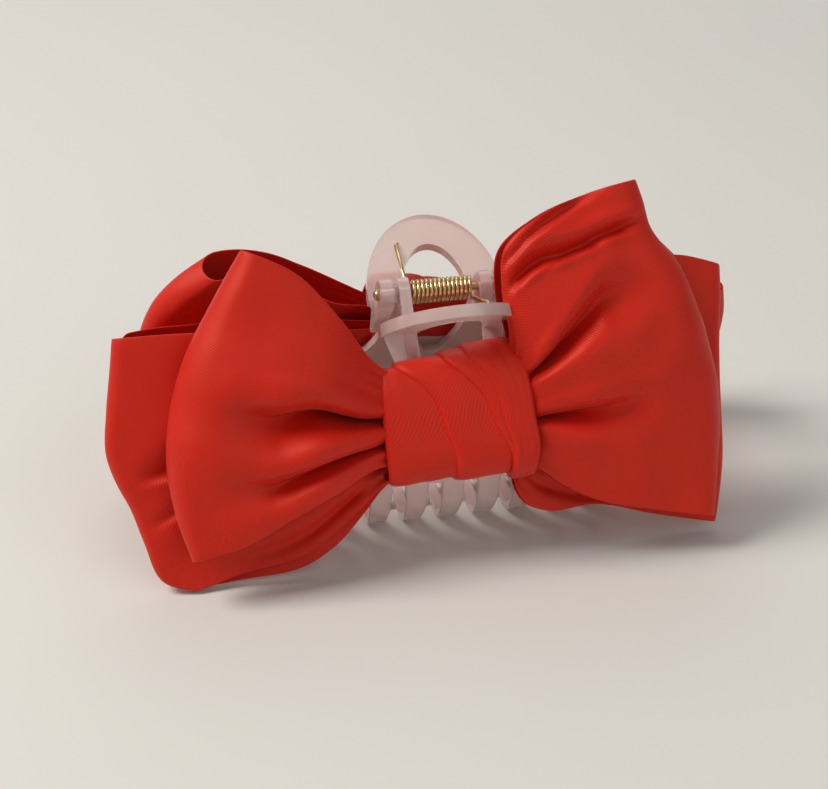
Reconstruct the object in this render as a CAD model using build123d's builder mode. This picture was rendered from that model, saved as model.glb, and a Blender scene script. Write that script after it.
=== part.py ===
"""Claw hair clip with a double satin bow on each jaw.

Millimetres, +Z up.  The hinge pin lies along X, the front is -Y, and the clip stands on the
tips of its teeth at Z = 0.  Both jaws are the same moulding: it is drawn on the +Y side, as the
back jaw, and the front jaw is that solid turned half a turn about Z.
"""

from build123d import *

import os
from math import asin, cos, degrees, radians, sin, tan

# ---------------------------------------------------------------- driving dimensions
hinge_height = 52.0  # hinge axis above the table

# jaw moulding
body_slope = 28.0  # lean of the jaw's outer face from vertical, degrees
waist_out, waist_height = 7.7, 45.7  # outer corner where the lever meets the body
knee_height = 24.5  # where the straight face turns into the round claw
body_thickness = 2.4
waist_half_width = 15.3
neck_half_width, neck_height = 12.4, 37.0
comb_half_width, comb_top = 38.5, 24.0
comb_corner = 3.0
shoulder_reach, shoulder_drop = 9.0, 2.5  # a point the shoulder's curve passes, from neck and comb
comb_end_angle = -2.0  # the plate ends here on the claw's arc; the teeth run on, degrees

lever_angle = 34.0  # lever above horizontal, degrees
lever_length = 21.0
lever_thickness = 2.6
loop_half_width = 7.4  # finger hole in the lever
loop_length = 13.2
loop_bottom_height = 30.5  # foot of the same hole, below the waist
loop_narrowing, loop_narrow_height = 0.9, 39.0  # the hole draws in before its V foot

tooth_count = 9
tooth_pitch = 8.0
tooth_angles = (9, -25, -60, -90, -118)  # stations round the claw's arc, degrees
tooth_widths = (5.4, 4.7, 3.9, 3.0, 1.9)
tooth_depths = (1.9, 2.0, 1.9, 1.8, 1.2)
tooth_inset = 0.3  # the teeth run this far inside the claw's outer arc
tooth_corner = 0.45

# hinge
ear_radius = 3.4
inner_ear = (7.8, 10.2)  # X span of each jaw's inner ear
outer_ear = (11.4, 14.2)
arm_corners = ((7.5, 47.1), (8.3, 42.4), (10.2, 38.8))  # (out, up), inside the jaw's wall
arm_corner_radius = 0.7
boss_radius, boss_gap = 1.9, 0.15
pin_radius, pin_clearance = 0.75, 0.05
head_radius, head_length, head_round, head_gap = 1.25, 1.1, 0.9, 0.1

# torsion spring
wire = 0.86
coil_radius = 2.25  # to the middle of the wire
coil_pitch = 0.95
coil_start = -7.1
whole_turns = 14
leg_wire, leg_length = 0.84, 18.2
leg_overlap = 0.3  # start of each leg, inside the coil's last turn

# bow, measured in the seat's own axes: x along the hinge, y up the jaw's face, z outwards
seat_height = 28.5
glue_size, glue_thickness = (19.0, 12.0), 0.8
knot_width, knot_height, knot_depth, knot_wall = 30.0, 25.2, 9.2, 0.9
knot_corner, thread_corner = 3.6, 2.4
thread_width, thread_wall, thread_gap = 2.6, 0.5, 0.15
core_half_height = 10.4
core_half_length = 15.6
upper_core_z, upper_core_half = 6.75, 1.5
under_core_z, under_core_half = 3.6, 1.1

# Each loop is a row of round-ended sections across the seat's x axis:
# (x, y, z, half height, half depth, outward tilt in degrees)
end_rounding = 0.9  # corner radius of a section, as a share of its half depth
front_left_upper = (
    (30, 2, 8.6, 18, 3.4, 3), (40, 5, 10.6, 27, 3.8, 6), (50, 7, 10.3, 31, 4.0, 8),
    (60, 5, 11.0, 26, 3.4, 8), (66, 3, 10.8, 17, 1.6, 8),
)
front_right_upper = (
    (30, 5, 8.6, 20, 3.4, 3), (40, 10, 10.8, 31, 3.8, 6), (50, 11, 10.5, 34, 4.0, 8),
    (60, 7, 11.0, 27, 3.4, 8), (66, 5, 10.8, 18, 1.6, 8),
)
back_upper = (
    (30, 1, 8.6, 16, 3.2, 6), (40, 1, 11.0, 21, 3.6, 12), (50, 1, 13.29, 23, 4.0, 15),
    (60, 1, 11.4, 21, 3.2, 15), (66, 1, 11.0, 15, 1.6, 15),
)
front_under = (
    (30, -2, 3.0, 15, 1.1, 2), (40, -3, 2.7, 22, 1.3, 4), (52, -3.6, 0.9, 26, 2.2, 7),
    (63, -3, 1.0, 23, 2.2, 7), (71, -2, 1.2, 14, 1.2, 7),
)
back_under = (
    (30, -3, 3.0, 14, 1.1, 4), (40, -6, 2.7, 18, 1.3, 9), (52, -7, 0.9, 21, 2.0, 13),
    (63, -6, 1.0, 19, 2.0, 13), (71, -5, 1.2, 12, 1.2, 13),
)

# ---------------------------------------------------------------- derived places
slope_out, slope_up = sin(radians(body_slope)), cos(radians(body_slope))
knee_out = waist_out + (waist_height - knee_height) * tan(radians(body_slope))
claw_radius = (knee_height + tooth_inset) / (1 + slope_out)  # its teeth touch the table
claw_centre = (knee_out - claw_radius * slope_up, knee_height - claw_radius * slope_out)
seat_out = waist_out + (waist_height - seat_height) * tan(radians(body_slope))

os.makedirs("parts", exist_ok=True)


def claw_point(angle, radius):
    """Point (out, up) on the claw's arc, at an angle above the horizontal."""
    return (
        claw_centre[0] + radius * cos(radians(angle)),
        claw_centre[1] + radius * sin(radians(angle)),
    )


def inside_of_face(out, up):
    """The point one body thickness behind a point of the jaw's outer face."""
    return (out - body_thickness * slope_up, up - body_thickness * slope_out)


def export(part, name):
    """Label a finished piece and write its STEP file."""
    part.label = name
    export_step(part, f"parts/{name}.step")


# ---------------------------------------------------------------- jaw moulding
inner_radius = claw_radius - body_thickness
waist = (waist_out, waist_height)
knee = (knee_out, knee_height)
lever_root = (
    waist_out - lever_thickness * sin(radians(lever_angle)),
    waist_height + lever_thickness * cos(radians(lever_angle)),
)
outline_top = waist_height + lever_thickness
lever_plane = Plane(
    origin=(0, waist_out, waist_height),
    x_dir=(-1, 0, 0),
    z_dir=(0, sin(radians(lever_angle)), -cos(radians(lever_angle))),
)

with BuildPart() as jaw:
    # straight upper face and the start of the claw, one strip across the whole width
    with BuildSketch(Plane.YZ):
        with BuildLine():
            Line(waist, knee)
            CenterArc(claw_centre, claw_radius, body_slope, comb_end_angle - body_slope)
            Line(claw_point(comb_end_angle, claw_radius), claw_point(comb_end_angle, inner_radius))
            CenterArc(claw_centre, inner_radius, comb_end_angle, body_slope - comb_end_angle)
            Polyline(inside_of_face(*knee), inside_of_face(*waist), lever_root, waist)
        make_face()
    extrude(amount=comb_half_width, both=True)

    # outline seen from the front: waist, neck, and the comb's wide shoulders
    with BuildSketch(Plane.XZ) as outline:
        with BuildLine():
            side = Spline(
                (waist_half_width, outline_top),
                (neck_half_width, neck_height),
                (neck_half_width + shoulder_reach, comb_top + shoulder_drop),
                (comb_half_width - comb_corner, comb_top),
                tangents=((-0.15, -1), (1, -0.03)),
            )
            corner = RadiusArc(
                side @ 1, (comb_half_width, comb_top - comb_corner), comb_corner
            )
            Polyline(corner @ 1, (comb_half_width, 0), (0, 0), (0, outline_top), side @ 0)
        make_face()
        mirror(about=Plane.YZ)
    extrude(amount=2 * claw_radius + waist_out, both=True, mode=Mode.INTERSECT)

    # ring-shaped finger lever
    with BuildSketch(lever_plane):
        with BuildLine():
            rim = EllipticalCenterArc((0, 0), waist_half_width, lever_length, arc_size=180)
            Line(rim @ 1, rim @ 0)
        make_face()
    extrude(amount=-lever_thickness)

    # teeth
    for index in range(tooth_count):
        tooth_x = (index - (tooth_count - 1) / 2) * tooth_pitch + tooth_pitch / 4
        for angle, width, depth in zip(tooth_angles, tooth_widths, tooth_depths):
            middle = claw_point(angle, claw_radius - body_thickness / 2)
            station = Plane(
                origin=(tooth_x, middle[0], middle[1]),
                x_dir=(1, 0, 0),
                z_dir=(0, sin(radians(angle)), -cos(radians(angle))),
            )
            with BuildSketch(station):
                RectangleRounded(width, depth, tooth_corner)
        loft()

    # hinge ears, one outer and one inner, each joined to the waist by an arm
    for start, end in ((-outer_ear[1], -outer_ear[0]), inner_ear):
        with BuildSketch(Plane.YZ.offset(start)):
            with Locations((0, hinge_height)):
                Circle(ear_radius)
            with Locations(*arm_corners):
                Circle(arm_corner_radius)
            make_hull()
        extrude(amount=end - start)
    with BuildSketch(Plane.YZ.offset(-outer_ear[0])):
        with Locations((0, hinge_height)):
            Circle(boss_radius)
    extrude(amount=outer_ear[0] - inner_ear[1] - boss_gap)

    # finger hole: half an ellipse in the lever, a blunt V below the waist
    with BuildSketch(lever_plane.offset(lever_thickness)):
        with BuildLine():
            hole_top = EllipticalCenterArc((0, 0), loop_half_width, loop_length, arc_size=180)
            Line(hole_top @ 1, hole_top @ 0)
        make_face()
    extrude(amount=-4 * lever_thickness, mode=Mode.SUBTRACT)
    with BuildSketch(Plane.XZ):
        with BuildLine():
            foot = Spline(
                (loop_half_width, outline_top),
                (loop_half_width - loop_narrowing, loop_narrow_height),
                (0, loop_bottom_height),
                (loop_narrowing - loop_half_width, loop_narrow_height),
                (-loop_half_width, outline_top),
                tangents=((0, -1), (0, 1)),
            )
            Line(foot @ 1, foot @ 0)
        make_face()
    extrude(amount=-(seat_out + body_thickness), mode=Mode.SUBTRACT)

    # pin hole
    with Locations(Location((0, 0, hinge_height), (0, 90, 0))):
        Cylinder(pin_radius + pin_clearance, 4 * waist_half_width, mode=Mode.SUBTRACT)

export(jaw.part, "back_jaw")
export(jaw.part.rotate(Axis.Z, 180), "front_jaw")

# ---------------------------------------------------------------- hinge pin
pin_end = outer_ear[1] + head_gap
with BuildPart() as hinge_pin:
    with Locations(Location((0, 0, hinge_height), (0, 90, 0))):
        Cylinder(pin_radius, 2 * pin_end)
    for side in (-1, 1):
        middle = side * (pin_end + head_length / 2)
        with Locations(Location((middle, 0, hinge_height), (0, 90, 0))):
            Cylinder(head_radius, head_length)
    rims = hinge_pin.edges().filter_by(GeomType.CIRCLE)
    fillet([rims.sort_by(Axis.X)[0], rims.sort_by(Axis.X)[-1]], radius=head_round)
export(hinge_pin.part, "hinge_pin")

# ---------------------------------------------------------------- torsion spring
# Each leg leaves the coil below the pin and reaches out until its tip lies on the upper face
# of its lever, so the leg's angle follows from how far that face is from the hinge axis.
face_distance = (
    (waist_out * sin(radians(lever_angle)))
    + (hinge_height - waist_height) * cos(radians(lever_angle))
    - lever_thickness
)
leg_drop = face_distance - wire / 2 - coil_radius
leg_angle = lever_angle - degrees(asin(leg_drop / leg_length))
start_angle = leg_angle - 90
end_angle = -90 - leg_angle
turns = whole_turns + (start_angle - end_angle) / 360

coil_plane = Plane(
    origin=(coil_start, 0, hinge_height),
    x_dir=(0, cos(radians(start_angle)), sin(radians(start_angle))),
    z_dir=(1, 0, 0),
)
# a helix in a line builder keeps to the world's axes, so it is placed on its plane here
coil = coil_plane.location * Helix(
    pitch=coil_pitch, height=turns * coil_pitch, radius=coil_radius, lefthand=True
)

with BuildPart() as torsion_spring:
    with BuildSketch(Plane(origin=coil @ 0, z_dir=coil % 0)):
        Circle(wire / 2)
    sweep(path=coil, is_frenet=True)
    for root, side in ((coil @ 0, 1), (coil @ 1, -1)):
        reach = Vector(0, side * cos(radians(leg_angle)), sin(radians(leg_angle)))
        with BuildSketch(Plane(origin=root - reach * leg_overlap, z_dir=reach)):
            Circle(leg_wire / 2)
        extrude(amount=leg_length + leg_overlap)
export(torsion_spring.part, "torsion_spring")


# ---------------------------------------------------------------- bows
def bow_seat(side):
    """Plane on a jaw's outer face: side is 1 for the back jaw and -1 for the front jaw."""
    return Plane(
        origin=(0, side * seat_out, seat_height),
        x_dir=(-side, 0, 0),
        z_dir=(0, side * slope_up, slope_out),
    )


def loop_section(seat, x, y, z, half_height, half_depth, tilt):
    """One round-ended face of a loop, across the seat's x axis."""
    lean = radians(tilt)
    station = Plane(
        origin=seat.origin + seat.x_dir * x + seat.y_dir * y + seat.z_dir * z,
        x_dir=seat.y_dir * cos(lean) + seat.z_dir * sin(lean),
        z_dir=seat.x_dir,
    )
    with BuildSketch(station) as section:
        RectangleRounded(2 * half_height, 2 * half_depth, end_rounding * half_depth)
    return section.sketch


def gathered_bow(seat, core_z, core_half, left_loop, right_loop):
    """A flat gathered core through the knot, with one puffed loop at each end."""
    left = [loop_section(seat, -x, *shape) for x, *shape in reversed(left_loop)]
    core = [
        loop_section(seat, x, 0, core_z, core_half_height, core_half, 0)
        for x in (-core_half_length, core_half_length)
    ]
    right = [loop_section(seat, x, *shape) for x, *shape in right_loop]
    with BuildPart() as bow:
        loft(left + core + right, ruled=True)
    return bow


def band(seat, low, high, height, width, wall, corner):
    """A flat ring round the gathered cores, from low to high above the seat."""
    middle = seat.origin + seat.z_dir * (low + high) / 2 - seat.x_dir * width / 2
    with BuildPart() as ring:
        with BuildSketch(Plane(origin=middle, x_dir=seat.y_dir, z_dir=seat.x_dir)):
            RectangleRounded(height, high - low, corner)
            RectangleRounded(
                height - 2 * wall, high - low - 2 * wall, corner - wall, mode=Mode.SUBTRACT
            )
        extrude(amount=width)
    return ring


def build_side(prefix, side, upper_loops, under_loops):
    """Write the five soft pieces of one jaw's bow."""
    seat = bow_seat(side)
    with BuildPart() as glue:
        with BuildSketch(seat):
            Ellipse(glue_size[0] / 2, glue_size[1] / 2)
        extrude(amount=glue_thickness)
    knot_low, knot_high = glue_thickness, glue_thickness + knot_depth
    inset = knot_wall + thread_gap
    knot = band(seat, knot_low, knot_high, knot_height, knot_width, knot_wall, knot_corner)
    thread = band(
        seat, knot_low + inset, knot_high - inset, knot_height - 2 * inset,
        thread_width, thread_wall, thread_corner,
    )
    upper = gathered_bow(seat, upper_core_z, upper_core_half, *upper_loops)
    under = gathered_bow(seat, under_core_z, under_core_half, *under_loops)
    export(glue.part, f"{prefix}_glue_pad")
    export(knot.part, f"{prefix}_knot_wrap")
    export(thread.part, f"{prefix}_gathering_thread")
    export(upper.part, f"{prefix}_upper_bow")
    export(under.part, f"{prefix}_under_bow")


build_side("front", -1, (front_left_upper, front_right_upper), (front_under, front_under))
build_side("back", 1, (back_upper, back_upper), (back_under, back_under))
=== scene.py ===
import logging
from abc import ABC, abstractmethod
from dataclasses import dataclass
from enum import Enum
from math import asin, cos, pi, radians, sin, tan
from typing import ClassVar

import bmesh
import bpy
import numpy as np
from mathutils import Matrix, Vector, noise


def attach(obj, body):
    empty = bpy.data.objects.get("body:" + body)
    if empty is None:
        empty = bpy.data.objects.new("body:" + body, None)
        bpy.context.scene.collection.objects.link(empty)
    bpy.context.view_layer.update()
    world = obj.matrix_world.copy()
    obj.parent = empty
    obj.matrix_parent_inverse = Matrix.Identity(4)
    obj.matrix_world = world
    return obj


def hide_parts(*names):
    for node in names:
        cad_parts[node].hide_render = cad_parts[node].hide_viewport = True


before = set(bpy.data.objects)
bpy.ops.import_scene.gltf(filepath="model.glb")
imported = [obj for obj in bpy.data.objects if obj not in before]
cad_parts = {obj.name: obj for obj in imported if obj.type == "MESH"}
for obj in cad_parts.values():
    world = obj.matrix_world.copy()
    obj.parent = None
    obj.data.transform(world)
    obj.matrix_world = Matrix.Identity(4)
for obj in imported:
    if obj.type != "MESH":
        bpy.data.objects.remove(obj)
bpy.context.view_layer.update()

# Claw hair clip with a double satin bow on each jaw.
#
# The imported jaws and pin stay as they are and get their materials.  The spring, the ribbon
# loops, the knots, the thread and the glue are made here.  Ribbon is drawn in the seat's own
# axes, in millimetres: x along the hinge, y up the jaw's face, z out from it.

MM = 0.001
LOG = logging.getLogger("bow_clip")
Point = tuple[float, ...]
Colour = tuple[float, float, float, float]


# ------------------------------------------------------------------ shader writing
class Value:
    """A socket's value, with the arithmetic that adds Math nodes."""

    def __init__(self, graph: "Graph", socket: bpy.types.NodeSocket) -> None:
        """Keep the graph and the socket.

        Args:
            graph: The node graph that the socket belongs to.
            socket: The output socket.
        """
        self.graph = graph
        self.socket = socket

    def _math(self, operation: str, first: object, second: object) -> "Value":
        """Add one Math node.

        Args:
            operation: The node's operation.
            first: Its first input, a number or a Value.
            second: Its second input.

        Returns:
            Its result.
        """
        made = self.graph.node("ShaderNodeMath", {"operation": operation}, {0: first, 1: second})
        return Value(self.graph, made.outputs[0])

    def __add__(self, other: object) -> "Value":
        """Return self + other."""
        return self._math("ADD", self, other)

    def __radd__(self, other: object) -> "Value":
        """Return other + self."""
        return self._math("ADD", other, self)

    def __sub__(self, other: object) -> "Value":
        """Return self - other."""
        return self._math("SUBTRACT", self, other)

    def __rsub__(self, other: object) -> "Value":
        """Return other - self."""
        return self._math("SUBTRACT", other, self)

    def __mul__(self, other: object) -> "Value":
        """Return self * other."""
        return self._math("MULTIPLY", self, other)

    def __rmul__(self, other: object) -> "Value":
        """Return other * self."""
        return self._math("MULTIPLY", other, self)

    def sine(self) -> "Value":
        """Return the sine of self, in radians."""
        return self._math("SINE", self, 0.0)


class Graph:
    """The node graph of one material."""

    def __init__(self, name: str) -> None:
        """Start an empty node material.

        Args:
            name: The material's name.
        """
        self.material = bpy.data.materials.new(name)
        self.material.use_nodes = True
        self.tree = self.material.node_tree
        self.tree.nodes.clear()

    def node(
        self, kind: str, settings: dict[str, object] | None = None, inputs: dict | None = None
    ) -> bpy.types.Node:
        """Add a node.

        Args:
            kind: The node's type.
            settings: Properties, which are set first.
            inputs: Values, sockets or Values for its inputs, by name or number.

        Returns:
            The new node.
        """
        made = self.tree.nodes.new(kind)
        for key, value in (settings or {}).items():
            setattr(made, key, value)
        for key, value in (inputs or {}).items():
            if isinstance(value, Value):
                value = value.socket
            if isinstance(value, bpy.types.NodeSocket):
                self.tree.links.new(value, made.inputs[key])
            else:
                made.inputs[key].default_value = value
        return made

    def value(
        self, kind: str, output: int | str, settings: dict[str, object] | None = None,
        inputs: dict | None = None
    ) -> Value:
        """Add a node and wrap one of its outputs.

        Args:
            kind: The node's type.
            output: The output's name or number.
            settings: As for node.
            inputs: As for node.

        Returns:
            The wrapped output.
        """
        return Value(self, self.node(kind, settings, inputs).outputs[output])

    def noise(self, place: Value, scale: float, detail: float = 2.0) -> Value:
        """Add a soft noise.

        Args:
            place: The coordinates.
            scale: Noise cells in a metre.
            detail: Octaves.

        Returns:
            The noise, about 0.5 on average.
        """
        return self.value("ShaderNodeTexNoise", "Fac", {"noise_dimensions": "3D"},
                          {"Vector": place, "Scale": scale, "Detail": detail})

    def blend(self, share: Value, first: Colour, second: Colour) -> Value:
        """Mix two colours.

        Args:
            share: 0 for the first colour, 1 for the second.
            first: RGBA.
            second: RGBA.

        Returns:
            The colour between them.
        """
        return self.value("ShaderNodeMix", 2, {"data_type": "RGBA"}, {0: share, 6: first, 7: second})

    def bump(self, height: Value, strength: float, distance: float) -> Value:
        """Bend the normal by a height.

        Args:
            height: The height, from 0 to 1.
            strength: The bump's strength.
            distance: The depth of a full step, in metres.

        Returns:
            The bent normal.
        """
        return self.value("ShaderNodeBump", "Normal", None,
                          {"Height": height, "Strength": strength, "Distance": distance})

    def surface(self, inputs: dict) -> bpy.types.Material:
        """Finish the material with one Principled surface.

        Args:
            inputs: The shader's inputs.

        Returns:
            The material.
        """
        shader = self.node("ShaderNodeBsdfPrincipled", None, inputs)
        self.node("ShaderNodeOutputMaterial", None, {"Surface": shader.outputs[0]})
        return self.material


# ------------------------------------------------------------------ finishes
class Finish(ABC):
    """A finish that dresses pieces; all pieces with one finish share one material."""

    made: ClassVar[dict[str, bpy.types.Material]] = {}
    name: str

    @abstractmethod
    def material(self) -> bpy.types.Material:
        """Return the finish's node material."""

    def dress(self, *pieces: bpy.types.Object) -> None:
        """Put the finish on pieces.

        Args:
            pieces: The pieces to dress.
        """
        if self.name not in self.made:
            self.made[self.name] = self.material()
        for piece in pieces:
            piece.data.materials.clear()
            piece.data.materials.append(self.made[self.name])
            LOG.info("%s: dressed in %s", piece.name, self.name)


@dataclass(frozen=True)
class Satin(Finish):
    """Satin ribbon: a fine diagonal weave, broad sheen and slightly uneven dye."""

    name: str
    light: Colour = (0.76, 0.017, 0.008, 1.0)
    deep: Colour = (0.50, 0.009, 0.004, 1.0)
    rib_pitch: float = 0.46 * MM
    rib_depth: float = 0.075 * MM
    rib_lean: tuple[float, float] = (0.86, 0.51)
    cross_rate: float = 1.7
    slub_scale: float = 900.0
    dye_scale: float = 60.0
    crush_scale: float = 220.0
    roughness: float = 0.46
    sheen: float = 0.30

    def material(self) -> bpy.types.Material:
        """Build the satin.

        Returns:
            Its material.
        """
        graph = Graph(self.name)
        cloth = graph.value("ShaderNodeUVMap", "UV", {"uv_map": "ribbon"})
        place = graph.value("ShaderNodeTexCoord", "Object")
        split = graph.node("ShaderNodeSeparateXYZ", None, {0: cloth})
        along, across = Value(graph, split.outputs[0]), Value(graph, split.outputs[1])
        slub = graph.noise(place, self.slub_scale, 3.0)
        turn = 2 * pi / self.rib_pitch
        steep, shallow = self.rib_lean
        ribs = ((along * steep + across * shallow) * turn + slub * 2.0).sine() * 0.5 + 0.5
        cross = ((along * -shallow + across * steep) * (turn * self.cross_rate)).sine() * 0.5 + 0.5
        weave = ribs * (cross * 0.25 + 0.75)
        dye = graph.noise(place, self.dye_scale)
        colour = graph.blend(dye * 0.5 + weave * 0.5, self.deep, self.light)
        crush = graph.noise(place, self.crush_scale, 3.0)
        height = weave * 0.75 + crush * 0.25
        return graph.surface({
            "Base Color": colour,
            "Roughness": self.roughness + dye * 0.10 - weave * 0.05,
            "Normal": graph.bump(height, 0.55, self.rib_depth),
            "Sheen Weight": self.sheen,
            "Sheen Roughness": 0.35,
            "Sheen Tint": (1.0, 0.30, 0.18, 1.0),
            "Specular IOR Level": 0.60,
            "Specular Tint": (1.0, 0.50, 0.34, 1.0),
        })


@dataclass(frozen=True)
class ClearPlastic(Finish):
    """Milky, pale pink moulded plastic with faint flow marks."""

    name: str
    light: Colour = (1.0, 0.86, 0.82, 1.0)
    deep: Colour = (0.97, 0.73, 0.69, 1.0)
    transmission: float = 0.58
    flow_scale: float = 70.0
    haze_scale: float = 900.0
    flow_depth: float = 0.15 * MM

    def material(self) -> bpy.types.Material:
        """Build the plastic.

        Returns:
            Its material.
        """
        graph = Graph(self.name)
        place = graph.value("ShaderNodeTexCoord", "Object")
        flow = graph.noise(place, self.flow_scale)
        haze = graph.noise(place, self.haze_scale)
        return graph.surface({
            "Base Color": graph.blend(flow, self.deep, self.light),
            "Roughness": 0.10 + haze * 0.12 + flow * 0.08,
            "Normal": graph.bump(flow * 0.8 + haze * 0.2, 0.25, self.flow_depth),
            "Transmission Weight": self.transmission,
            "IOR": 1.46,
            "Coat Weight": 0.35,
            "Coat Roughness": 0.08,
        })


@dataclass(frozen=True)
class Brass(Finish):
    """Drawn or turned brass with fine marks and a little tarnish."""

    name: str
    light: Colour
    deep: Colour
    roughness: float = 0.24
    tarnish_scale: float = 420.0
    mark_scale: float = 5200.0
    mark_depth: float = 0.01 * MM

    def material(self) -> bpy.types.Material:
        """Build the brass.

        Returns:
            Its material.
        """
        graph = Graph(self.name)
        place = graph.value("ShaderNodeTexCoord", "Object")
        tarnish = graph.noise(place, self.tarnish_scale, 3.0)
        marks = graph.noise(place, self.mark_scale)
        return graph.surface({
            "Base Color": graph.blend(tarnish, self.deep, self.light),
            "Metallic": 1.0,
            "Roughness": self.roughness + tarnish * 0.12 + marks * 0.06,
            "Normal": graph.bump(marks, 0.3, self.mark_depth),
        })


@dataclass(frozen=True)
class TwistedThread(Finish):
    """Sewing thread: two plies that run round each turn."""

    name: str
    light: Colour = (0.60, 0.030, 0.020, 1.0)
    deep: Colour = (0.36, 0.010, 0.008, 1.0)
    ply_pitch: float = 0.5 * MM
    ply_depth: float = 0.06 * MM
    fuzz_scale: float = 3000.0

    def material(self) -> bpy.types.Material:
        """Build the thread.

        Returns:
            Its material.
        """
        graph = Graph(self.name)
        place = graph.value("ShaderNodeTexCoord", "Object")
        split = graph.node("ShaderNodeSeparateXYZ", None, {0: place})
        slant = Value(graph, split.outputs[0]) + Value(graph, split.outputs[2]) * 0.8
        plies = (slant * (2 * pi / self.ply_pitch)).sine() * 0.5 + 0.5
        fuzz = graph.noise(place, self.fuzz_scale, 3.0)
        return graph.surface({
            "Base Color": graph.blend(plies * 0.7 + fuzz * 0.3, self.deep, self.light),
            "Roughness": 0.62 + fuzz * 0.15,
            "Normal": graph.bump(plies * 0.8 + fuzz * 0.2, 0.6, self.ply_depth),
            "Sheen Weight": 0.3,
        })


@dataclass(frozen=True)
class HotGlue(Finish):
    """Cloudy set glue with tiny bubbles."""

    name: str
    light: Colour = (0.84, 0.81, 0.74, 1.0)
    deep: Colour = (0.70, 0.66, 0.57, 1.0)
    cloud_scale: float = 300.0
    bubble_scale: float = 2400.0
    bubble_depth: float = 0.05 * MM

    def material(self) -> bpy.types.Material:
        """Build the glue.

        Returns:
            Its material.
        """
        graph = Graph(self.name)
        place = graph.value("ShaderNodeTexCoord", "Object")
        cloud = graph.noise(place, self.cloud_scale)
        bubbles = graph.noise(place, self.bubble_scale, 1.0)
        return graph.surface({
            "Base Color": graph.blend(cloud, self.deep, self.light),
            "Roughness": 0.28 + bubbles * 0.15,
            "Normal": graph.bump(bubbles, 0.4, self.bubble_depth),
            "Transmission Weight": 0.3,
        })


@dataclass(frozen=True)
class Paper(Finish):
    """The pale floor: matt paper with a faint unevenness."""

    name: str
    light: Colour = (0.75, 0.735, 0.695, 1.0)
    deep: Colour = (0.72, 0.705, 0.665, 1.0)
    mottle_scale: float = 6.0

    def material(self) -> bpy.types.Material:
        """Build the paper.

        Returns:
            Its material.
        """
        graph = Graph(self.name)
        place = graph.value("ShaderNodeTexCoord", "Object")
        mottle = graph.noise(place, self.mottle_scale)
        return graph.surface({
            "Base Color": graph.blend(mottle, self.deep, self.light),
            "Roughness": 0.85,
        })


# ------------------------------------------------------------------ shape helpers
def smoothstep(value: np.ndarray) -> np.ndarray:
    """Ease numbers from 0 to 1.

    Args:
        value: Any numbers; below 0 counts as 0 and above 1 as 1.

    Returns:
        The eased numbers.
    """
    held = np.clip(value, 0.0, 1.0)
    return held * held * (3 - 2 * held)


def along_curve(points: tuple[Point, ...], share: np.ndarray) -> np.ndarray:
    """Find places on a smooth curve through given points.

    Args:
        points: The points that the curve passes.
        share: Shares of the curve's chord length, from 0 to 1.

    Returns:
        One row of coordinates for each share.
    """
    knots = np.array(points, float)
    steps = np.linalg.norm(np.diff(knots, axis=0), axis=1)
    at = np.concatenate([[0.0], np.cumsum(steps)]) / steps.sum()
    if len(knots) > 2:
        slopes = np.gradient(knots, at, axis=0)
    else:
        slopes = np.repeat(np.diff(knots, axis=0), 2, axis=0)
    index = np.clip(np.searchsorted(at, share, side="right") - 1, 0, len(knots) - 2)
    span = (at[index + 1] - at[index])[..., None]
    t = ((share - at[index]) / (at[index + 1] - at[index]))[..., None]
    return (
        (1 + 2 * t) * (1 - t) ** 2 * knots[index] + t * (1 - t) ** 2 * span * slopes[index]
        + t * t * (3 - 2 * t) * knots[index + 1] + t * t * (t - 1) * span * slopes[index + 1]
    )


class Side(Enum):
    """Which jaw a piece is on; the value is the sign of its place along Y."""

    FRONT = -1
    BACK = 1

    @property
    def word(self) -> str:
        """The side's name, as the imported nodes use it."""
        return self.name.lower()

    @property
    def body(self) -> str:
        """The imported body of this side."""
        return f"{self.word}_half"


@dataclass(frozen=True)
class Seat:
    """The flat place on a jaw's outer face that carries its bow."""

    side: Side
    slope: float = 28.0
    waist_out: float = 7.7
    waist_height: float = 45.7
    height: float = 28.5
    floor: float = 0.45
    rest: float = 1.2
    rest_reach: float = 6.0

    def world(self, local: np.ndarray, floor: bool = True) -> np.ndarray:
        """Turn seat coordinates into places in the frame.

        Args:
            local: Rows of x, y, z in millimetres.
            floor: Whether the ribbon rests on the table where it would go through it.

        Returns:
            Rows of X, Y, Z in metres.
        """
        sign, lean = self.side.value, radians(self.slope)
        out = self.waist_out + (self.waist_height - self.height) * tan(lean)
        axes = np.array([
            [-sign, 0.0, 0.0],
            [0.0, -sign * sin(lean), cos(lean)],
            [0.0, sign * cos(lean), sin(lean)],
        ])
        placed = local @ axes + np.array([0.0, sign * out, self.height])
        if floor:
            low = placed[..., 2]
            lifted = self.floor + self.rest * np.log1p(np.exp((low - self.floor) / self.rest))
            placed[..., 2] = np.where(low < self.floor + self.rest_reach * self.rest, lifted, low)
        return placed * MM


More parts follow.
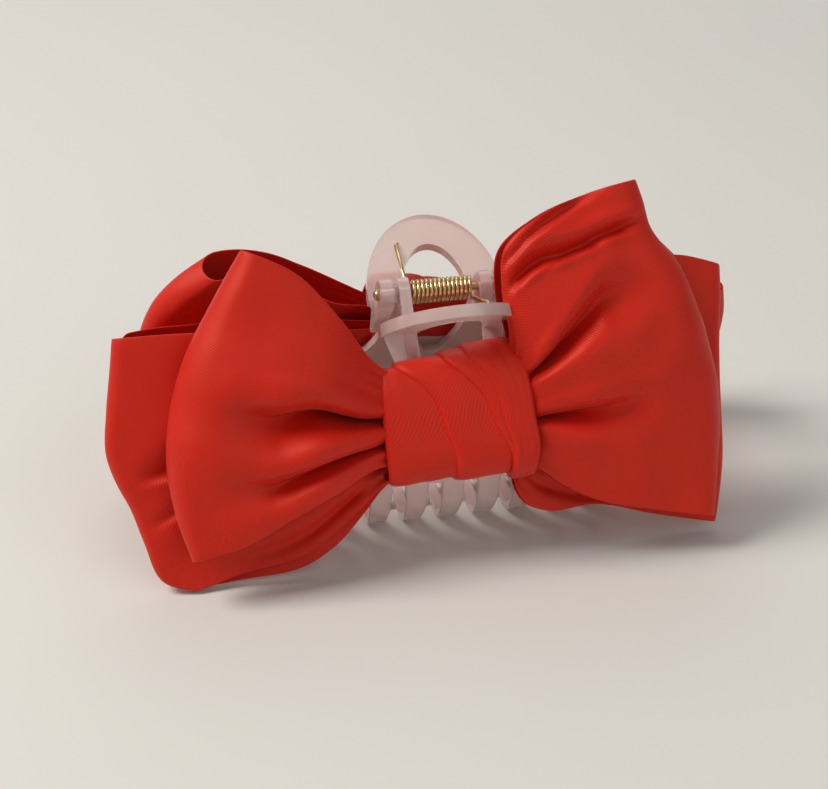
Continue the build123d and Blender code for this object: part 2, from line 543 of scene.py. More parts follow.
@dataclass(frozen=True)
class Crease:
    """A valley or a roll pressed into a ribbon, along a line in the seat's x and y."""

    line: tuple[Point, ...]
    depth: float
    above: tuple[float, float]
    below: tuple[float, float]
    fade_in: float = 4.0
    fade_out: float = 12.0
    ease: float = 0.45
    shoulder: float = 0.08
    tuck: float = 0.0
    samples: int = 40
    head_start: float = 0.3
    overrun: float = 1.3
    roll_place: float = 1.9
    lip_place: float = 1.1

    def press(self, x: np.ndarray, y: np.ndarray) -> tuple[np.ndarray, np.ndarray]:
        """Work out how far the crease moves the cloth.

        Args:
            x: Places along the hinge.
            y: Places up the face.

        Returns:
            The move outwards and the move up the face.
        """
        reach = np.abs(x)
        samples = along_curve(self.line, np.linspace(0, 1, self.samples))
        order = np.argsort(np.abs(samples[:, 0]))
        ends = np.abs(samples[order, 0])
        middle = np.interp(reach, ends, samples[order, 1])
        length = ends[-1] - ends[0]
        window = smoothstep((reach - ends[0]) / self.fade_in + self.head_start)
        fade = self.fade_out + self.ease * length
        window = window * smoothstep((ends[-1] + self.fade_out - reach) / fade)
        progress = np.clip((reach - ends[0]) / length, 0, self.overrun)
        off = y - middle
        above = self.above[0] + (self.above[1] - self.above[0]) * progress
        below = self.below[0] + (self.below[1] - self.below[0]) * progress
        share = off / np.where(off > 0, above, below)
        valley = np.exp(-share**2)
        rolls = self.shoulder * np.exp(-((np.abs(share) - self.roll_place) ** 2))
        lip = np.exp(-((share - self.lip_place) ** 2))
        return -self.depth * window * (valley - rolls), -self.tuck * window * lip


# ------------------------------------------------------------------ ribbon
@dataclass
class Ribbon(ABC):
    """A sheet of ribbon, mapped from a flat grid."""

    name: str
    seat: Seat
    node: str
    flat: tuple[float, float]
    finish: Finish
    columns: int = 110
    rows: int = 62
    thickness: float = 0.34
    seam: float = 0.02
    closed: bool = False
    area: float | None = None

    @abstractmethod
    def shape(self, u: np.ndarray, v: np.ndarray) -> np.ndarray:
        """Place the ribbon.

        Args:
            u: Shares of the ribbon's length.
            v: Shares of its width.

        Returns:
            Rows of seat coordinates.
        """

    def crumple(self, local: np.ndarray, amount: float, size: float) -> np.ndarray:
        """Work out small, soft dents.

        Args:
            local: Rows of seat coordinates.
            amount: The deepest dent, in millimetres.
            size: The size of a dent, in millimetres.

        Returns:
            How far out each place moves.
        """
        seed = Vector((len(self.name) * 3.7, self.seat.side.value * 11.0, 0.0))
        return np.array([amount * noise.noise(Vector(p) / size + seed) for p in local])

    def build(self) -> bpy.types.Object:
        """Build the ribbon as a closed thin solid that rides on its jaw.

        Returns:
            The piece.
        """
        bm = bmesh.new()
        uv = bm.loops.layers.uv.new("ribbon")
        bmesh.ops.create_grid(
            bm, x_segments=self.columns, y_segments=self.rows, size=0.5, calc_uvs=True
        )
        bm.verts.ensure_lookup_table()
        flat = np.array([v.co for v in bm.verts]) + 0.5
        placed = self.seat.world(self.shape(flat[:, 0], flat[:, 1]))
        for vert, place in zip(bm.verts, placed):
            vert.co = place
        width, length = self.flat
        for face in bm.faces:
            for loop in face.loops:
                loop[uv].uv.x *= length
                loop[uv].uv.y *= width
        if self.closed:
            bmesh.ops.remove_doubles(bm, verts=bm.verts, dist=self.seam * MM)
        piece = new_piece(self.name, bm)
        wall = piece.modifiers.new("wall", "SOLIDIFY")
        wall.thickness = self.thickness * MM
        wall.offset = 0.0
        wall.use_quality_normals = True
        smooth = piece.modifiers.new("smooth", "SUBSURF")
        smooth.levels = smooth.render_levels = 1
        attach(piece, self.seat.side.body)
        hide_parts(f"{self.seat.side.word}_{self.node}")
        self.finish.dress(piece)
        LOG.info("%s: %d by %d cells", self.name, self.columns, self.rows)
        return piece


def new_piece(name: str, bm: bmesh.types.BMesh) -> bpy.types.Object:
    """Turn a bmesh into a smooth-shaded piece in the scene.

    Args:
        name: The piece's name.
        bm: The bmesh, which is freed.

    Returns:
        The new object.
    """
    for face in bm.faces:
        face.smooth = True
    mesh = bpy.data.meshes.new(name)
    bm.to_mesh(mesh)
    bm.free()
    piece = bpy.data.objects.new(name, mesh)
    bpy.context.scene.collection.objects.link(piece)
    return piece


def only(geometry: list, kind: type) -> list:
    """Pick the elements of one kind.

    Args:
        geometry: What a bmesh operator returned.
        kind: The kind to keep.

    Returns:
        The elements of that kind.
    """
    return [element for element in geometry if isinstance(element, kind)]


@dataclass
class BowLoop(Ribbon):
    """One loop of a bow: out from the knot, round the outer fold, and back behind itself."""

    bottom: tuple[Point, ...] = ()
    top: tuple[Point, ...] = ()
    fold: tuple[Point, ...] = ()
    room: tuple[float, float, float] = (1.8, 3.0, 3.4)
    gathered: float = 1.4
    puff: float = 4.0
    back_puff: float = 0.5
    creases: tuple[Crease, ...] = ()
    pleats: float = 7.0
    pleat_depth: float = 0.35
    pleat_reach: float = 0.30
    dents: float = 0.6
    dent_size: float = 9.0
    dent_start: float = 0.2
    drop: float = 0.0
    drop_start: float = 0.4
    cap: float = 0.07
    cap_depth: float = 1.15
    gather_reach: float = 0.35
    crease_end: float = 0.12

    def shape(self, u: np.ndarray, v: np.ndarray) -> np.ndarray:
        """Place the loop.

        Args:
            u: Shares of the length, from the knot round the fold and back.
            v: Shares of the width, upwards.

        Returns:
            Rows of seat coordinates.
        """
        reach = abs(self.fold[0][0] + self.fold[-1][0]) / 2
        room = np.interp(v, (0.0, 0.5, 1.0), self.room)
        turn = np.clip((u - 0.5 + self.cap) / (2 * self.cap), 0.0, 1.0) * pi
        start = 1.0 - room / reach * self.cap_depth
        straight = start * np.clip(np.minimum(u, 1 - u) / (0.5 - self.cap), 0.0, 1.0)
        out = np.where((turn > 0) & (turn < pi), start + (1 - start) * np.sin(turn), straight)
        layer = np.cos(turn)

        base = self.between_edges(out, v)
        front = (1 + layer) / 2
        half = self.gathered + (room - self.gathered) * smoothstep(out / self.gather_reach)
        rise = np.sin(pi * np.clip(v, 0, 1)) * np.sin(pi * out**1.1)
        lift = half * (layer - 1) + rise * (self.puff * front - self.back_puff * (1 - front))

        fans = np.cos(2 * pi * (self.pleats * v + 0.7 * np.sin(2.3 * pi * v) + 0.8 * front))
        pleated = smoothstep(1 - out / self.pleat_reach) * (0.45 + 0.55 * front)
        lift = lift + self.pleat_depth * fans * pleated
        sag = (1 - front) * (1 - v) ** 3 * smoothstep(out / self.drop_start) * (1 - out**6)
        climb = -self.drop * sag
        for crease in self.creases:
            outward, upward = crease.press(base[:, 0], base[:, 1])
            lift = lift + outward * front * smoothstep((1 - out) / self.crease_end)
            climb = climb + upward * front
        base[:, 2] += lift
        base[:, 1] += climb
        base[:, 2] += self.crumple(base, self.dents, self.dent_size) * smoothstep(out / self.dent_start)
        return base

    def between_edges(self, out: np.ndarray, v: np.ndarray) -> np.ndarray:
        """Fill the smooth patch between the knot, the outer fold and the two selvedges.

        Args:
            out: Shares of the way from the knot to the fold.
            v: Shares of the way up the width.

        Returns:
            Rows of seat coordinates.
        """
        low, high = along_curve(self.bottom, out), along_curve(self.top, out)
        gather = along_curve((self.bottom[0], self.top[0]), v)
        rim = along_curve(self.fold, v)
        s, t = out[:, None], v[:, None]
        corners = (
            (1 - s) * (1 - t) * np.array(self.bottom[0]) + (1 - s) * t * np.array(self.top[0])
            + s * (1 - t) * np.array(self.fold[0]) + s * t * np.array(self.fold[-1])
        )
        return (1 - t) * low + t * high + (1 - s) * gather + s * rim - corners


@dataclass
class KnotBand(Ribbon):
    """One turn of ribbon round the middle of a bow, slanted across its front."""

    left: tuple[float, ...] = ()
    right: tuple[float, ...] = ()
    lift: float = 0.0
    swell: float = 1.5
    ribs: float = 4.0
    rib_depth: float = 0.06
    half_height: float = 11.7
    half_depth: float = 4.9
    middle: tuple[float, float] = (1.2, 5.9)
    climb: float = 0.07
    squareness: float = 0.62
    crown_power: int = 8
    back_press: float = 0.25
    dents: float = 0.25
    dent_size: float = 7.0

    def shape(self, u: np.ndarray, v: np.ndarray) -> np.ndarray:
        """Place the band.

        Args:
            u: Shares of the way round the knot, from its top, down the front and up the back.
            v: Shares of the width.

        Returns:
            Rows of seat coordinates.
        """
        angle = 2 * pi * u
        down = (1 - np.cos(angle)) / 2
        stations = np.linspace(0, 1, len(self.left))
        left = along_curve(tuple(zip(stations * 20, self.left)), down)[:, 1]
        right = along_curve(tuple(zip(stations * 20, self.right)), down)[:, 1]
        x = left + (right - left) * v
        up = np.sign(np.cos(angle)) * np.abs(np.cos(angle)) ** self.squareness
        out = np.sign(np.sin(angle)) * np.abs(np.sin(angle)) ** self.squareness
        across = 2 * v - 1
        crown = np.sqrt(np.clip(1 - across**self.crown_power, 0, 1))
        rise = self.lift + self.swell * (crown - 0.7)
        rise = rise + self.rib_depth * np.cos(2 * pi * self.ribs * v + 2.0 * down)
        front = np.where(np.sin(angle) > -0.2, 1.0, self.back_press)
        lean = np.stack([np.cos(angle) / self.half_height, np.sin(angle) / self.half_depth], 1)
        lean /= np.linalg.norm(lean, axis=1)[:, None]
        rise = rise * front
        y = self.middle[0] + self.climb * x + self.half_height * up + rise * lean[:, 0]
        z = self.middle[1] + self.half_depth * out + rise * lean[:, 1]
        local = np.stack([x, y, z], 1)
        local[:, 2] += self.crumple(local, self.dents, self.dent_size) * (out > 0)
        return local


# ------------------------------------------------------------------ small parts
@dataclass
class ThreadTurns:
    """Turns of sewing thread pulled tight round the gathered ribbon."""

    seat: Seat
    finish: Finish
    turns: int = 5
    thickness: float = 0.5
    spacing: float = 1.04
    half_height: float = 11.0
    half_depth: float = 3.3
    middle: tuple[float, float] = (1.0, 5.4)

    def build(self) -> bpy.types.Object:
        """Spin one round section into a ring for each turn and flatten the rings.

        Returns:
            The piece.
        """
        bm = bmesh.new()
        for turn in range(self.turns):
            place = (turn - (self.turns - 1) / 2) * self.thickness * self.spacing
            ring = bmesh.ops.create_circle(
                bm, segments=10, radius=self.thickness / 2, cap_ends=False,
                matrix=Matrix.Translation((place, self.half_height, 0)),
            )["verts"]
            edges = list({e for v in ring for e in v.link_edges})
            bmesh.ops.spin(
                bm, geom=ring + edges, cent=(place, 0, 0), axis=(1, 0, 0), angle=2 * pi, steps=48,
                use_merge=True, use_duplicate=False,
            )
        bmesh.ops.remove_doubles(bm, verts=bm.verts, dist=0.001)
        for vert in bm.verts:
            vert.co.z *= self.half_depth / self.half_height
        local = np.array([v.co for v in bm.verts])
        local[:, 1:] += self.middle
        for vert, place in zip(bm.verts, self.seat.world(local, floor=False)):
            vert.co = place
        bmesh.ops.recalc_face_normals(bm, faces=bm.faces)
        piece = new_piece(f"{self.seat.side.word}_thread_turns", bm)
        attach(piece, self.seat.side.body)
        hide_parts(f"{self.seat.side.word}_gathering_thread")
        self.finish.dress(piece)
        LOG.info("%s: %d turns", piece.name, self.turns)
        return piece


@dataclass
class GlueBlob:
    """The pressed pad of glue between a bow and its jaw."""

    seat: Seat
    finish: Finish
    size: tuple[float, float] = (9.3, 5.8)
    thickness: float = 0.8
    rim: float = 0.3
    uneven: float = 0.10
    shrink: float = 0.04
    lump_rate: float = 2.2

    def build(self) -> bpy.types.Object:
        """Raise a round disc, round its rim and make its outline uneven.

        Returns:
            The piece.
        """
        bm = bmesh.new()
        bmesh.ops.create_circle(bm, segments=72, radius=1.0, cap_ends=True)
        raised = bmesh.ops.extrude_face_region(bm, geom=bm.faces[:])["geom"]
        bmesh.ops.translate(bm, verts=only(raised, bmesh.types.BMVert), vec=(0, 0, 1))
        for vert in bm.verts:
            lump = noise.noise(Vector((vert.co.x, vert.co.y, self.seat.side.value)) * self.lump_rate)
            spread = 1 + self.uneven * lump - self.shrink
            vert.co = (vert.co.x * self.size[0] * spread, vert.co.y * self.size[1] * spread,
                       vert.co.z * self.thickness)
        rims = [
            e for e in bm.edges
            if len(e.link_faces) == 2 and any(len(f.verts) > 4 for f in e.link_faces)
        ]
        bmesh.ops.bevel(bm, geom=rims, offset=self.rim, offset_type="OFFSET", segments=3, profile=0.5,
                        affect="EDGES", material=-1)
        local = np.array([v.co for v in bm.verts])
        for vert, place in zip(bm.verts, self.seat.world(local, floor=False)):
            vert.co = place
        bmesh.ops.recalc_face_normals(bm, faces=bm.faces)
        piece = new_piece(f"{self.seat.side.word}_glue_blob", bm)
        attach(piece, self.seat.side.body)
        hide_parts(f"{self.seat.side.word}_glue_pad")
        self.finish.dress(piece)
        LOG.info("%s: pressed pad", piece.name)
        return piece


@dataclass
class HingeSpring:
    """The torsion spring: a close coil on the pin and one leg on each lever."""

    finish: Finish
    hinge_height: float = 52.0
    wire: float = 0.86
    coil_radius: float = 2.25
    pitch: float = 0.95
    start: float = -7.1
    whole_turns: int = 14
    leg_length: float = 18.2
    lever_angle: float = 34.0
    lever_thickness: float = 2.6
    waist_out: float = 7.7
    waist_height: float = 45.7
    hook: float = 1.6
    hook_radius: float = 1.1
    hook_turn: float = 70.0
    tip_share: float = 0.85
    root_share: float = 0.4
    sides: int = 14
    steps_per_turn: int = 28

    def leg_angle(self) -> float:
        """Work out the angle at which each leg's tip meets its lever.

        Returns:
            The legs' angle above horizontal, in radians.
        """
        lean = radians(self.lever_angle)
        face = self.waist_out * sin(lean) + (self.hinge_height - self.waist_height) * cos(lean)
        rise = face - self.lever_thickness - self.wire / 2 - self.coil_radius
        return lean - asin(rise / self.leg_length)

    def on_coil(self, x: float, angle: float) -> Vector:
        """Find a place on the coil's centre line.

        Args:
            x: The place along the hinge.
            angle: Its angle round the hinge, in radians.

        Returns:
            The place, in millimetres.
        """
        out, up = self.coil_radius * cos(angle), self.coil_radius * sin(angle)
        return Vector((x, out, self.hinge_height + up))

    def section(self, bm: bmesh.types.BMesh, centre: Vector, along: Vector, capped: bool) -> list:
        """Draw the wire's round section.

        Args:
            bm: The bmesh to draw in.
            centre: The section's centre.
            along: The wire's direction there.
            capped: Whether the section has a face.

        Returns:
            The section's vertices.
        """
        turn = Vector((0, 0, 1)).rotation_difference(along).to_matrix().to_4x4()
        return bmesh.ops.create_circle(
            bm, segments=self.sides, radius=self.wire / 2, cap_ends=capped,
            matrix=Matrix.Translation(centre) @ turn,
        )["verts"]

    def finish_piece(self, bm: bmesh.types.BMesh, name: str, body: str) -> None:
        """Scale a bmesh to metres and make it a piece of the spring.

        Args:
            bm: The bmesh, in millimetres.
            name: The piece's name.
            body: The body it rides on.
        """
        bmesh.ops.scale(bm, verts=bm.verts, vec=(MM, MM, MM))
        bmesh.ops.recalc_face_normals(bm, faces=bm.faces)
        piece = new_piece(name, bm)
        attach(piece, body)
        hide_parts("torsion_spring")
        self.finish.dress(piece)
        LOG.info("%s: wire %.2f mm", name, self.wire)

    def build_coil(self, first: float, last: float) -> None:
        """Spin the coil from its first angle to its last.

        Args:
            first: Angle of the back leg's root round the hinge, in radians.
            last: Angle of the front leg's root.
        """
        turned = 2 * pi * self.whole_turns + (first - last)
        steps = self.whole_turns * self.steps_per_turn
        bm = bmesh.new()
        centre = self.on_coil(self.start, first)
        along = Vector((
            self.pitch / (2 * pi), self.coil_radius * sin(first), -self.coil_radius * cos(first)
        ))
        ring = self.section(bm, centre, along.normalized(), False)
        edges = list({e for v in ring for e in v.link_edges})
        bmesh.ops.spin(
            bm, geom=ring + edges, cent=(self.start, 0, self.hinge_height), axis=(1, 0, 0), angle=-turned,
            dvec=(self.pitch * turned / (2 * pi) / steps, 0, 0), steps=steps, use_duplicate=False,
        )
        bmesh.ops.holes_fill(bm, edges=[e for e in bm.edges if e.is_boundary], sides=0)
        self.finish_piece(bm, "spring_coil", Side.FRONT.body)

    def build_leg(self, side: Side, root: Vector, reach: Vector) -> None:
        """Draw one straight leg with a small hook at its tip.

        Args:
            side: The jaw that the leg presses.
            root: Where it leaves the coil.
            reach: Its direction.
        """
        bm = bmesh.new()
        tip = root + reach * (self.leg_length - self.hook)
        self.section(bm, root - reach * self.wire * self.root_share, reach, True)
        shaft = bmesh.ops.extrude_face_region(bm, geom=bm.faces[:])["geom"]
        move = reach * (self.leg_length - self.hook + self.wire * self.root_share)
        bmesh.ops.translate(bm, verts=only(shaft, bmesh.types.BMVert), vec=move)
        inward = Vector((side.value, 0, 0))
        bend = bmesh.ops.spin(
            bm, geom=only(shaft, bmesh.types.BMFace), cent=tip + inward * self.wire * self.hook_radius,
            axis=reach.cross(inward), angle=radians(self.hook_turn), steps=8, use_duplicate=False,
        )["geom_last"]
        far = only(bend, bmesh.types.BMVert)
        centre = sum((v.co for v in far), Vector()) / len(far)
        bmesh.ops.scale(bm, verts=far, vec=(self.tip_share,) * 3, space=Matrix.Translation(-centre))
        self.finish_piece(bm, f"spring_{side.word}_leg", side.body)

    def build(self) -> None:
        """Build the coil and both legs."""
        lean = self.leg_angle()
        first, last = lean - pi / 2, -pi / 2 - lean
        turned = 2 * pi * self.whole_turns + (first - last)
        self.build_coil(first, last)
        for side, angle, x in (
            (Side.BACK, first, self.start),
            (Side.FRONT, last, self.start + self.pitch * turned / (2 * pi)),
        ):
            self.build_leg(side, self.on_coil(x, angle), Vector((0, side.value * cos(lean), sin(lean))))


# ------------------------------------------------------------------ the two bows
@dataclass(frozen=True)
class KnotTurn:
    """One turn of a knot: its cut, and its two selvedges at even stations down the front."""

    name: str
    width: float
    slant_share: float
    left: tuple[float, ...]
    right: tuple[float, ...]
    lift: float
    ribs: float


@dataclass
class Bow(ABC):
    """The double bow on one jaw."""

    seat: Seat
    finish: Finish
    turn_length: float = 60.0
    turns: tuple[KnotTurn, ...] = (
        KnotTurn("left", 15.0, 1.0, left=(-17.8, -18.4, -18.5, -18.3, -18.0),
                 right=(-9.0, -4.0, -1.5, -0.5, -0.5), lift=0.3, ribs=3.0),
        KnotTurn("middle", 15.0, 0.95, left=(-15.0, -8.6, -5.2, -3.7, -4.0),
                 right=(0.0, 4.5, 8.5, 9.6, 9.4), lift=1.4, ribs=2.0),
        KnotTurn("wedge", 10.0, 0.6, left=(-5.2, 0.6, 5.6, 8.2, 8.4),
                 right=(4.0, 7.5, 9.8, 10.6, 10.6), lift=2.2, ribs=3.0),
        KnotTurn("right", 10.0, 0.85, left=(-0.6, 4.2, 6.9, 8.5, 8.3),
                 right=(11.9, 12.9, 13.6, 14.3, 13.7), lift=2.9, ribs=4.0),
    )

    @abstractmethod
    def build(self) -> None:
        """Build the bow's loops and knot."""

    def loop(self, name: str, node: str, width: float, length: float, **shape: object) -> None:
        """Build one loop.

        Args:
            name: The loop's name, without its side.
            node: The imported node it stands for.
            width: The ribbon's width, in millimetres.
            length: The cut length that the loop takes, in millimetres.
            shape: The loop's own edges, creases and fullness.
        """
        flat = (width * MM, length * MM)
        BowLoop(f"{self.seat.side.word}_{name}", self.seat, node, flat, self.finish, **shape).build()

    def knot(self) -> None:
        """Build the knot's turns, each over the one before."""
        for turn in self.turns:
            flat = (turn.width * MM, self.turn_length * MM)
            KnotBand(
                f"{self.seat.side.word}_knot_{turn.name}", self.seat, "knot_wrap", flat, self.finish,
                columns=96, rows=26, closed=True, area=flat[0] * flat[1] * turn.slant_share,
                left=turn.left, right=turn.right, lift=turn.lift, ribs=turn.ribs,
            ).build()


class FrontBow(Bow):
    """The upright bow that faces the viewer."""

    def build(self) -> None:
        """Build the front bow's loops and knot."""
        self.loop(
            "upper_loop_left", "upper_bow", 68, 96,
            bottom=((-12, -9.5, 7.6), (-19, -8.0, 9.0), (-29, -12.2, 10.6), (-38.5, -16.4, 10.2),
                    (-49.6, -21.4, 9.4), (-60.5, -23.6, 8.4)),
            top=((-12, 10.0, 7.6), (-18, 13.4, 9.4), (-26, 24.0, 14.2), (-34, 33.5, 15.6),
                 (-45, 39.8, 16.6)),
            fold=((-60.5, -23.6, 8.4), (-63.2, -13.0, 9.8), (-64, -3.0, 11.0), (-62.8, 6.0, 12.0),
                  (-59, 17.5, 13.6), (-51.6, 30.0, 15.2), (-45, 39.8, 16.6)),
            room=(1.7, 5.4, 3.6), puff=4.8, pleats=5.0,
            creases=(
                Crease(((-16, 2.2), (-25, 4.8), (-33, 6.8), (-41, 5.6)), 10.2, (0.7, 2.6), (1.3, 7.5),
                       tuck=2.8, fade_in=12.0, fade_out=15.0, ease=0.35),
                Crease(((-16, -2.0), (-24, -3.2), (-32, -5.4), (-43, -9.0)), 6.8, (0.6, 2.4), (1.0, 4.2),
                       tuck=2.0, fade_in=8.0, fade_out=14.0, ease=0.35),
            ),
        )
        self.loop(
            "upper_loop_right", "upper_bow", 68, 96,
            bottom=((9.5, -9.0, 8.0), (14, -11.5, 9.4), (19, -15.5, 8.9), (27, -19.8, 8.2),
                    (40, -23.4, 7.7), (53, -26.2, 7.2)),
            top=((9.5, 10.5, 8.2), (10, 17.0, 12.2), (8.6, 27.0, 15.0), (9.6, 35.0, 16.2), (18, 41.5, 17.0),
                 (29, 45.4, 17.4), (40, 47.6, 17.6)),
            fold=((53, -26.2, 7.2), (55, -12.0, 9.6), (56, -1.0, 11.5), (55, 10.0, 13.0), (52, 21.0, 14.5),
                  (48.6, 29.0, 15.4), (42.4, 38.0, 16.4), (41.4, 43.0, 17.0), (40, 47.6, 17.6)),
            room=(1.7, 5.2, 3.4), puff=4.4, pleats=5.0,
            creases=(
                Crease(((9, 31.5), (17, 38.6), (25, 43.0), (33, 46.6)), 2.2, (0.9, 1.2), (0.7, 0.9),
                       fade_out=4.0, shoulder=0.35),
                Crease(((10, 26.5), (16, 31.0), (24, 33.0), (33, 36.6), (42, 39.2)), 3.6, (3.0, 1.0),
                       (0.6, 0.6), fade_out=5.0, ease=0.1, shoulder=0.35),
                Crease(((12.2, 7.4), (18, 12.4), (23.6, 17.6), (30, 23.4)), 8.6, (1.0, 3.6), (0.9, 5.0),
                       tuck=1.6, fade_in=7.0, fade_out=16.0, ease=0.9),
                Crease(((12.2, 0.0), (20, 0.6), (31, 0.8)), 7.2, (0.5, 1.8), (1.1, 5.4), tuck=1.8,
                       fade_out=14.0, ease=0.6),
            ),
        )
        self.loop(
            "under_loop_left", "under_bow", 68, 112,
            bottom=((-12, -9.0, 3.4), (-18, -12.2, 1.8), (-23, -16.4, 0.6), (-28.5, -20.8, -0.4),
                    (-37, -25.6, -1.2), (-49, -27.8, -1.8), (-60.3, -31.6, -2.4)),
            top=((-12, 9.0, 3.4), (-25, 17.0, 4.0), (-40, 22.0, 4.3), (-56, 24.0, 4.4), (-72.4, 24.4, 4.2)),
            fold=((-60.3, -31.6, -2.4), (-66.6, -27.6, -1.9), (-69.6, -19.0, -0.9), (-71.8, -11.5, -0.1),
                  (-74.2, -6.0, 0.4), (-75.8, 0.0, 1.2), (-75.0, 9.0, 2.4), (-73.6, 17.0, 3.4),
                  (-72.4, 24.4, 4.2)),
            room=(1.1, 1.6, 2.2), gathered=1.0, puff=1.0, pleats=6.0, drop=3.0,
            creases=(
                Crease(((-52, -3.4), (-62, -4.6), (-70, -6.4)), 2.4, (3.4, 4.4), (0.8, 0.8), fade_out=3.0),
                Crease(((-58, -11.0), (-66, -15.0), (-72, -18.0)), 1.0, (1.6, 1.6), (1.0, 1.0),
                       fade_out=2.0),
                Crease(((-22, -12.0), (-36, -21.0), (-50, -25.0)), 1.4, (1.0, 2.0), (1.2, 2.4)),
            ),
        )
        self.loop(
            "under_loop_right", "under_bow", 68, 94,
            bottom=((10.5, -8.6, 3.4), (10.0, -13.6, 2.6), (12.4, -19.0, 1.2), (17, -21.4, 0.2),
                    (28, -21.2, -0.6), (43, -25.2, -1.6), (56, -28.4, -2.3)),
            top=((10.5, 9.0, 3.4), (20, 19.0, 4.0), (35, 27.6, 4.4), (50, 31.4, 4.6), (60.8, 28.4, 4.6)),
            fold=((56, -28.4, -2.3), (58.6, -15.0, -0.6), (59.0, -1.4, 1.0), (59.6, 12.0, 2.6),
                  (60.6, 22.0, 3.9), (60.8, 28.4, 4.6)),
            room=(1.3, 1.6, 2.4), gathered=1.0, puff=1.6, pleats=6.0,
            creases=(
                Crease(((14, -14.5), (22, -17.5), (34, -19.5)), 1.2, (1.0, 1.6), (1.4, 2.4)),
            ),
        )
        self.knot()


class BackBow(Bow):
    """The bow on the far jaw, which leans further back and stands lower."""

    def half(self, name: str, hand: int, near: float, sag: float) -> None:
        """Build the two loops on one side.

        Args:
            name: The side's name.
            hand: 1 or -1, the sign of the loops' places along the hinge.
            near: Where the loops start beside the knot, in millimetres.
            sag: How much lower the upper loop's top lies, in millimetres.
        """
        def flip(*points: Point) -> tuple[Point, ...]:
            """Return the points on this side."""
            return tuple((hand * p[0], *p[1:]) for p in points)

        self.loop(
            f"upper_loop_{name}", "upper_bow", 54, 94,
            bottom=flip((near, -9.5, 8.2), (20, -11.0, 9.4), (32, -16.0, 10.0), (46, -20.0, 9.0),
                        (58, -20.5, 8.6)),
            top=flip((near, 10.0, 8.2), (18, 12.8, 11.8), (28, 16.6 - sag, 15.6), (40, 21.2 - sag, 17.6),
                     (50, 20.8 - sag, 17.4)),
            fold=flip((58, -20.5, 8.6), (63, -11.0, 9.8), (65, -1.0, 11.8), (62.4, 9.0, 14.2),
                      (57, 15.6 - sag, 16.2), (50, 20.8 - sag, 17.4)),
            room=(1.8, 3.4, 3.8), puff=3.0, back_puff=-0.3, pleats=5.0,
            creases=(
                Crease(flip((16, 2.4), (28, 5.0), (40, 4.0)), 4.4, (0.6, 2.4), (0.9, 4.6), tuck=0.8),
                Crease(flip((16, -3.0), (28, -5.2), (40, -7.4)), 3.2, (0.6, 1.8), (0.8, 3.6), tuck=0.5),
            ),
        )
        self.loop(
            f"under_loop_{name}", "under_bow", 50, 104,
            bottom=flip((near, -9.0, 3.4), (22, -15.5, 1.6), (34, -21.5, 0.4), (50, -25.0, -1.0),
                        (60, -26.6, -1.6)),
            top=flip((near, 8.6, 3.4), (24, 10.0, 4.2), (40, 12.6, 4.6), (56, 13.4, 4.2), (69, 12.4, 3.6)),
            fold=flip((60, -26.6, -1.6), (67, -20.0, -0.8), (70.4, -8.0, 1.0), (70.8, 3.0, 2.6),
                      (69, 12.4, 3.6)),
            room=(1.2, 1.6, 1.8), gathered=1.0, puff=1.0, pleats=6.0,
            creases=(
                Crease(flip((20, -6.0), (36, -10.0), (54, -12.0)), 1.2, (1.2, 2.0), (1.6, 3.0)),
            ),
        )

    def build(self) -> None:
        """Build the back bow's loops and knot."""
        self.half("left", 1, near=9.5, sag=0.0)
        self.half("right", -1, near=12.0, sag=1.0)
        self.knot()


# ------------------------------------------------------------------ the studio
@dataclass(frozen=True)
class Lamp:
    """One square soft light: its place and side in metres, and its power in watts."""

    name: str
    place: Point
    size: float
    power: float
    colour: Point

    def hang(self, aim: Point) -> None:
        """Hang the light.

        Args:
            aim: The place that it faces.
        """
        lamp = bpy.data.lights.new(self.name, "AREA")
        lamp.size, lamp.energy, lamp.color = self.size, self.power, self.colour
        hung = bpy.data.objects.new(self.name, lamp)
        hung.location = self.place
        hung.rotation_euler = (Vector(aim) - Vector(self.place)).to_track_quat("-Z", "Y").to_euler()
        bpy.context.scene.collection.objects.link(hung)


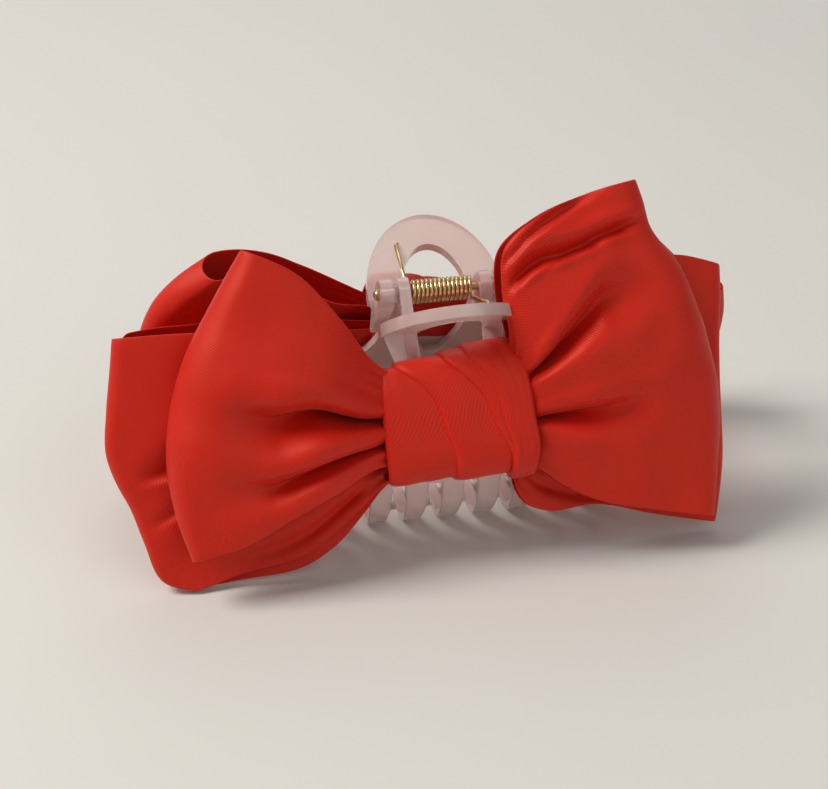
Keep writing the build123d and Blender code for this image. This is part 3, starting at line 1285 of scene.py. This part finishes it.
@dataclass
class Studio:
    """The pale floor, the soft lights and the camera."""

    finish: Finish
    turn: float = 12.0
    elevation: float = 28.0
    distance: float = 0.48
    aim: tuple[float, float, float] = (-0.0084, -0.0092, 0.0318)
    lens: float = 96.0
    sensor: float = 36.0
    floor_size: float = 8.0
    sky: Colour = (1.0, 0.985, 0.96, 1.0)
    sky_strength: float = 0.26
    lamps: tuple[Lamp, ...] = (
        Lamp("key", (-0.80, 0.02, 1.0), 0.55, 11.8, (1.0, 0.97, 0.93)),
        Lamp("fill", (0.6, -1.1, 0.8), 1.2, 3.6, (0.96, 0.98, 1.0)),
        Lamp("rim", (0.1, 0.9, 0.9), 0.8, 2.6, (1.0, 0.98, 0.95)),
    )

    def floor(self) -> None:
        """Lay the floor."""
        bm = bmesh.new()
        bmesh.ops.create_grid(bm, x_segments=4, y_segments=4, size=self.floor_size / 2)
        piece = new_piece("floor", bm)
        self.finish.dress(piece)

    def surroundings(self) -> None:
        """Set the even light from all round."""
        world = bpy.data.worlds.new("surroundings")
        world.use_nodes = True
        shade = world.node_tree.nodes["Background"]
        shade.inputs["Color"].default_value = self.sky
        shade.inputs["Strength"].default_value = self.sky_strength
        bpy.context.scene.world = world

    def camera(self) -> None:
        """Set up the camera."""
        data = bpy.data.cameras.new("camera")
        data.lens, data.sensor_width = self.lens, self.sensor
        camera = bpy.data.objects.new("camera", data)
        yaw, pitch = radians(self.turn), radians(self.elevation)
        back = Vector((-sin(yaw) * cos(pitch), -cos(yaw) * cos(pitch), sin(pitch)))
        camera.location = Vector(self.aim) + back * self.distance
        camera.rotation_euler = back.to_track_quat("Z", "Y").to_euler()
        bpy.context.scene.collection.objects.link(camera)
        bpy.context.scene.camera = camera

    def build(self) -> None:
        """Set up the floor, lights, surroundings and camera."""
        self.floor()
        for lamp in self.lamps:
            lamp.hang(self.aim)
        self.surroundings()
        self.camera()
        bpy.context.scene.view_settings.view_transform = "Standard"


def main() -> None:
    """Build and dress the clip, piece by piece."""
    logging.basicConfig(level=logging.INFO, format="%(message)s")
    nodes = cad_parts
    ClearPlastic("jaw_plastic").dress(nodes["front_jaw"], nodes["back_jaw"])
    Brass("pin_brass", (0.74, 0.46, 0.27, 1.0), (0.58, 0.33, 0.19, 1.0)).dress(nodes["hinge_pin"])
    HingeSpring(Brass("spring_brass", (0.86, 0.66, 0.36, 1.0), (0.74, 0.52, 0.26, 1.0), 0.18)).build()
    satin, thread, glue = Satin("red_satin"), TwistedThread("red_thread"), HotGlue("set_glue")
    front, back = Seat(Side.FRONT), Seat(Side.BACK)
    FrontBow(front, satin).build()
    BackBow(back, satin).build()
    for small_part, finish in ((ThreadTurns, thread), (GlueBlob, glue)):
        small_part(front, finish).build()
        small_part(back, finish).build()
    Studio(Paper("floor_paper")).build()


if __name__ == "__main__":
    main()
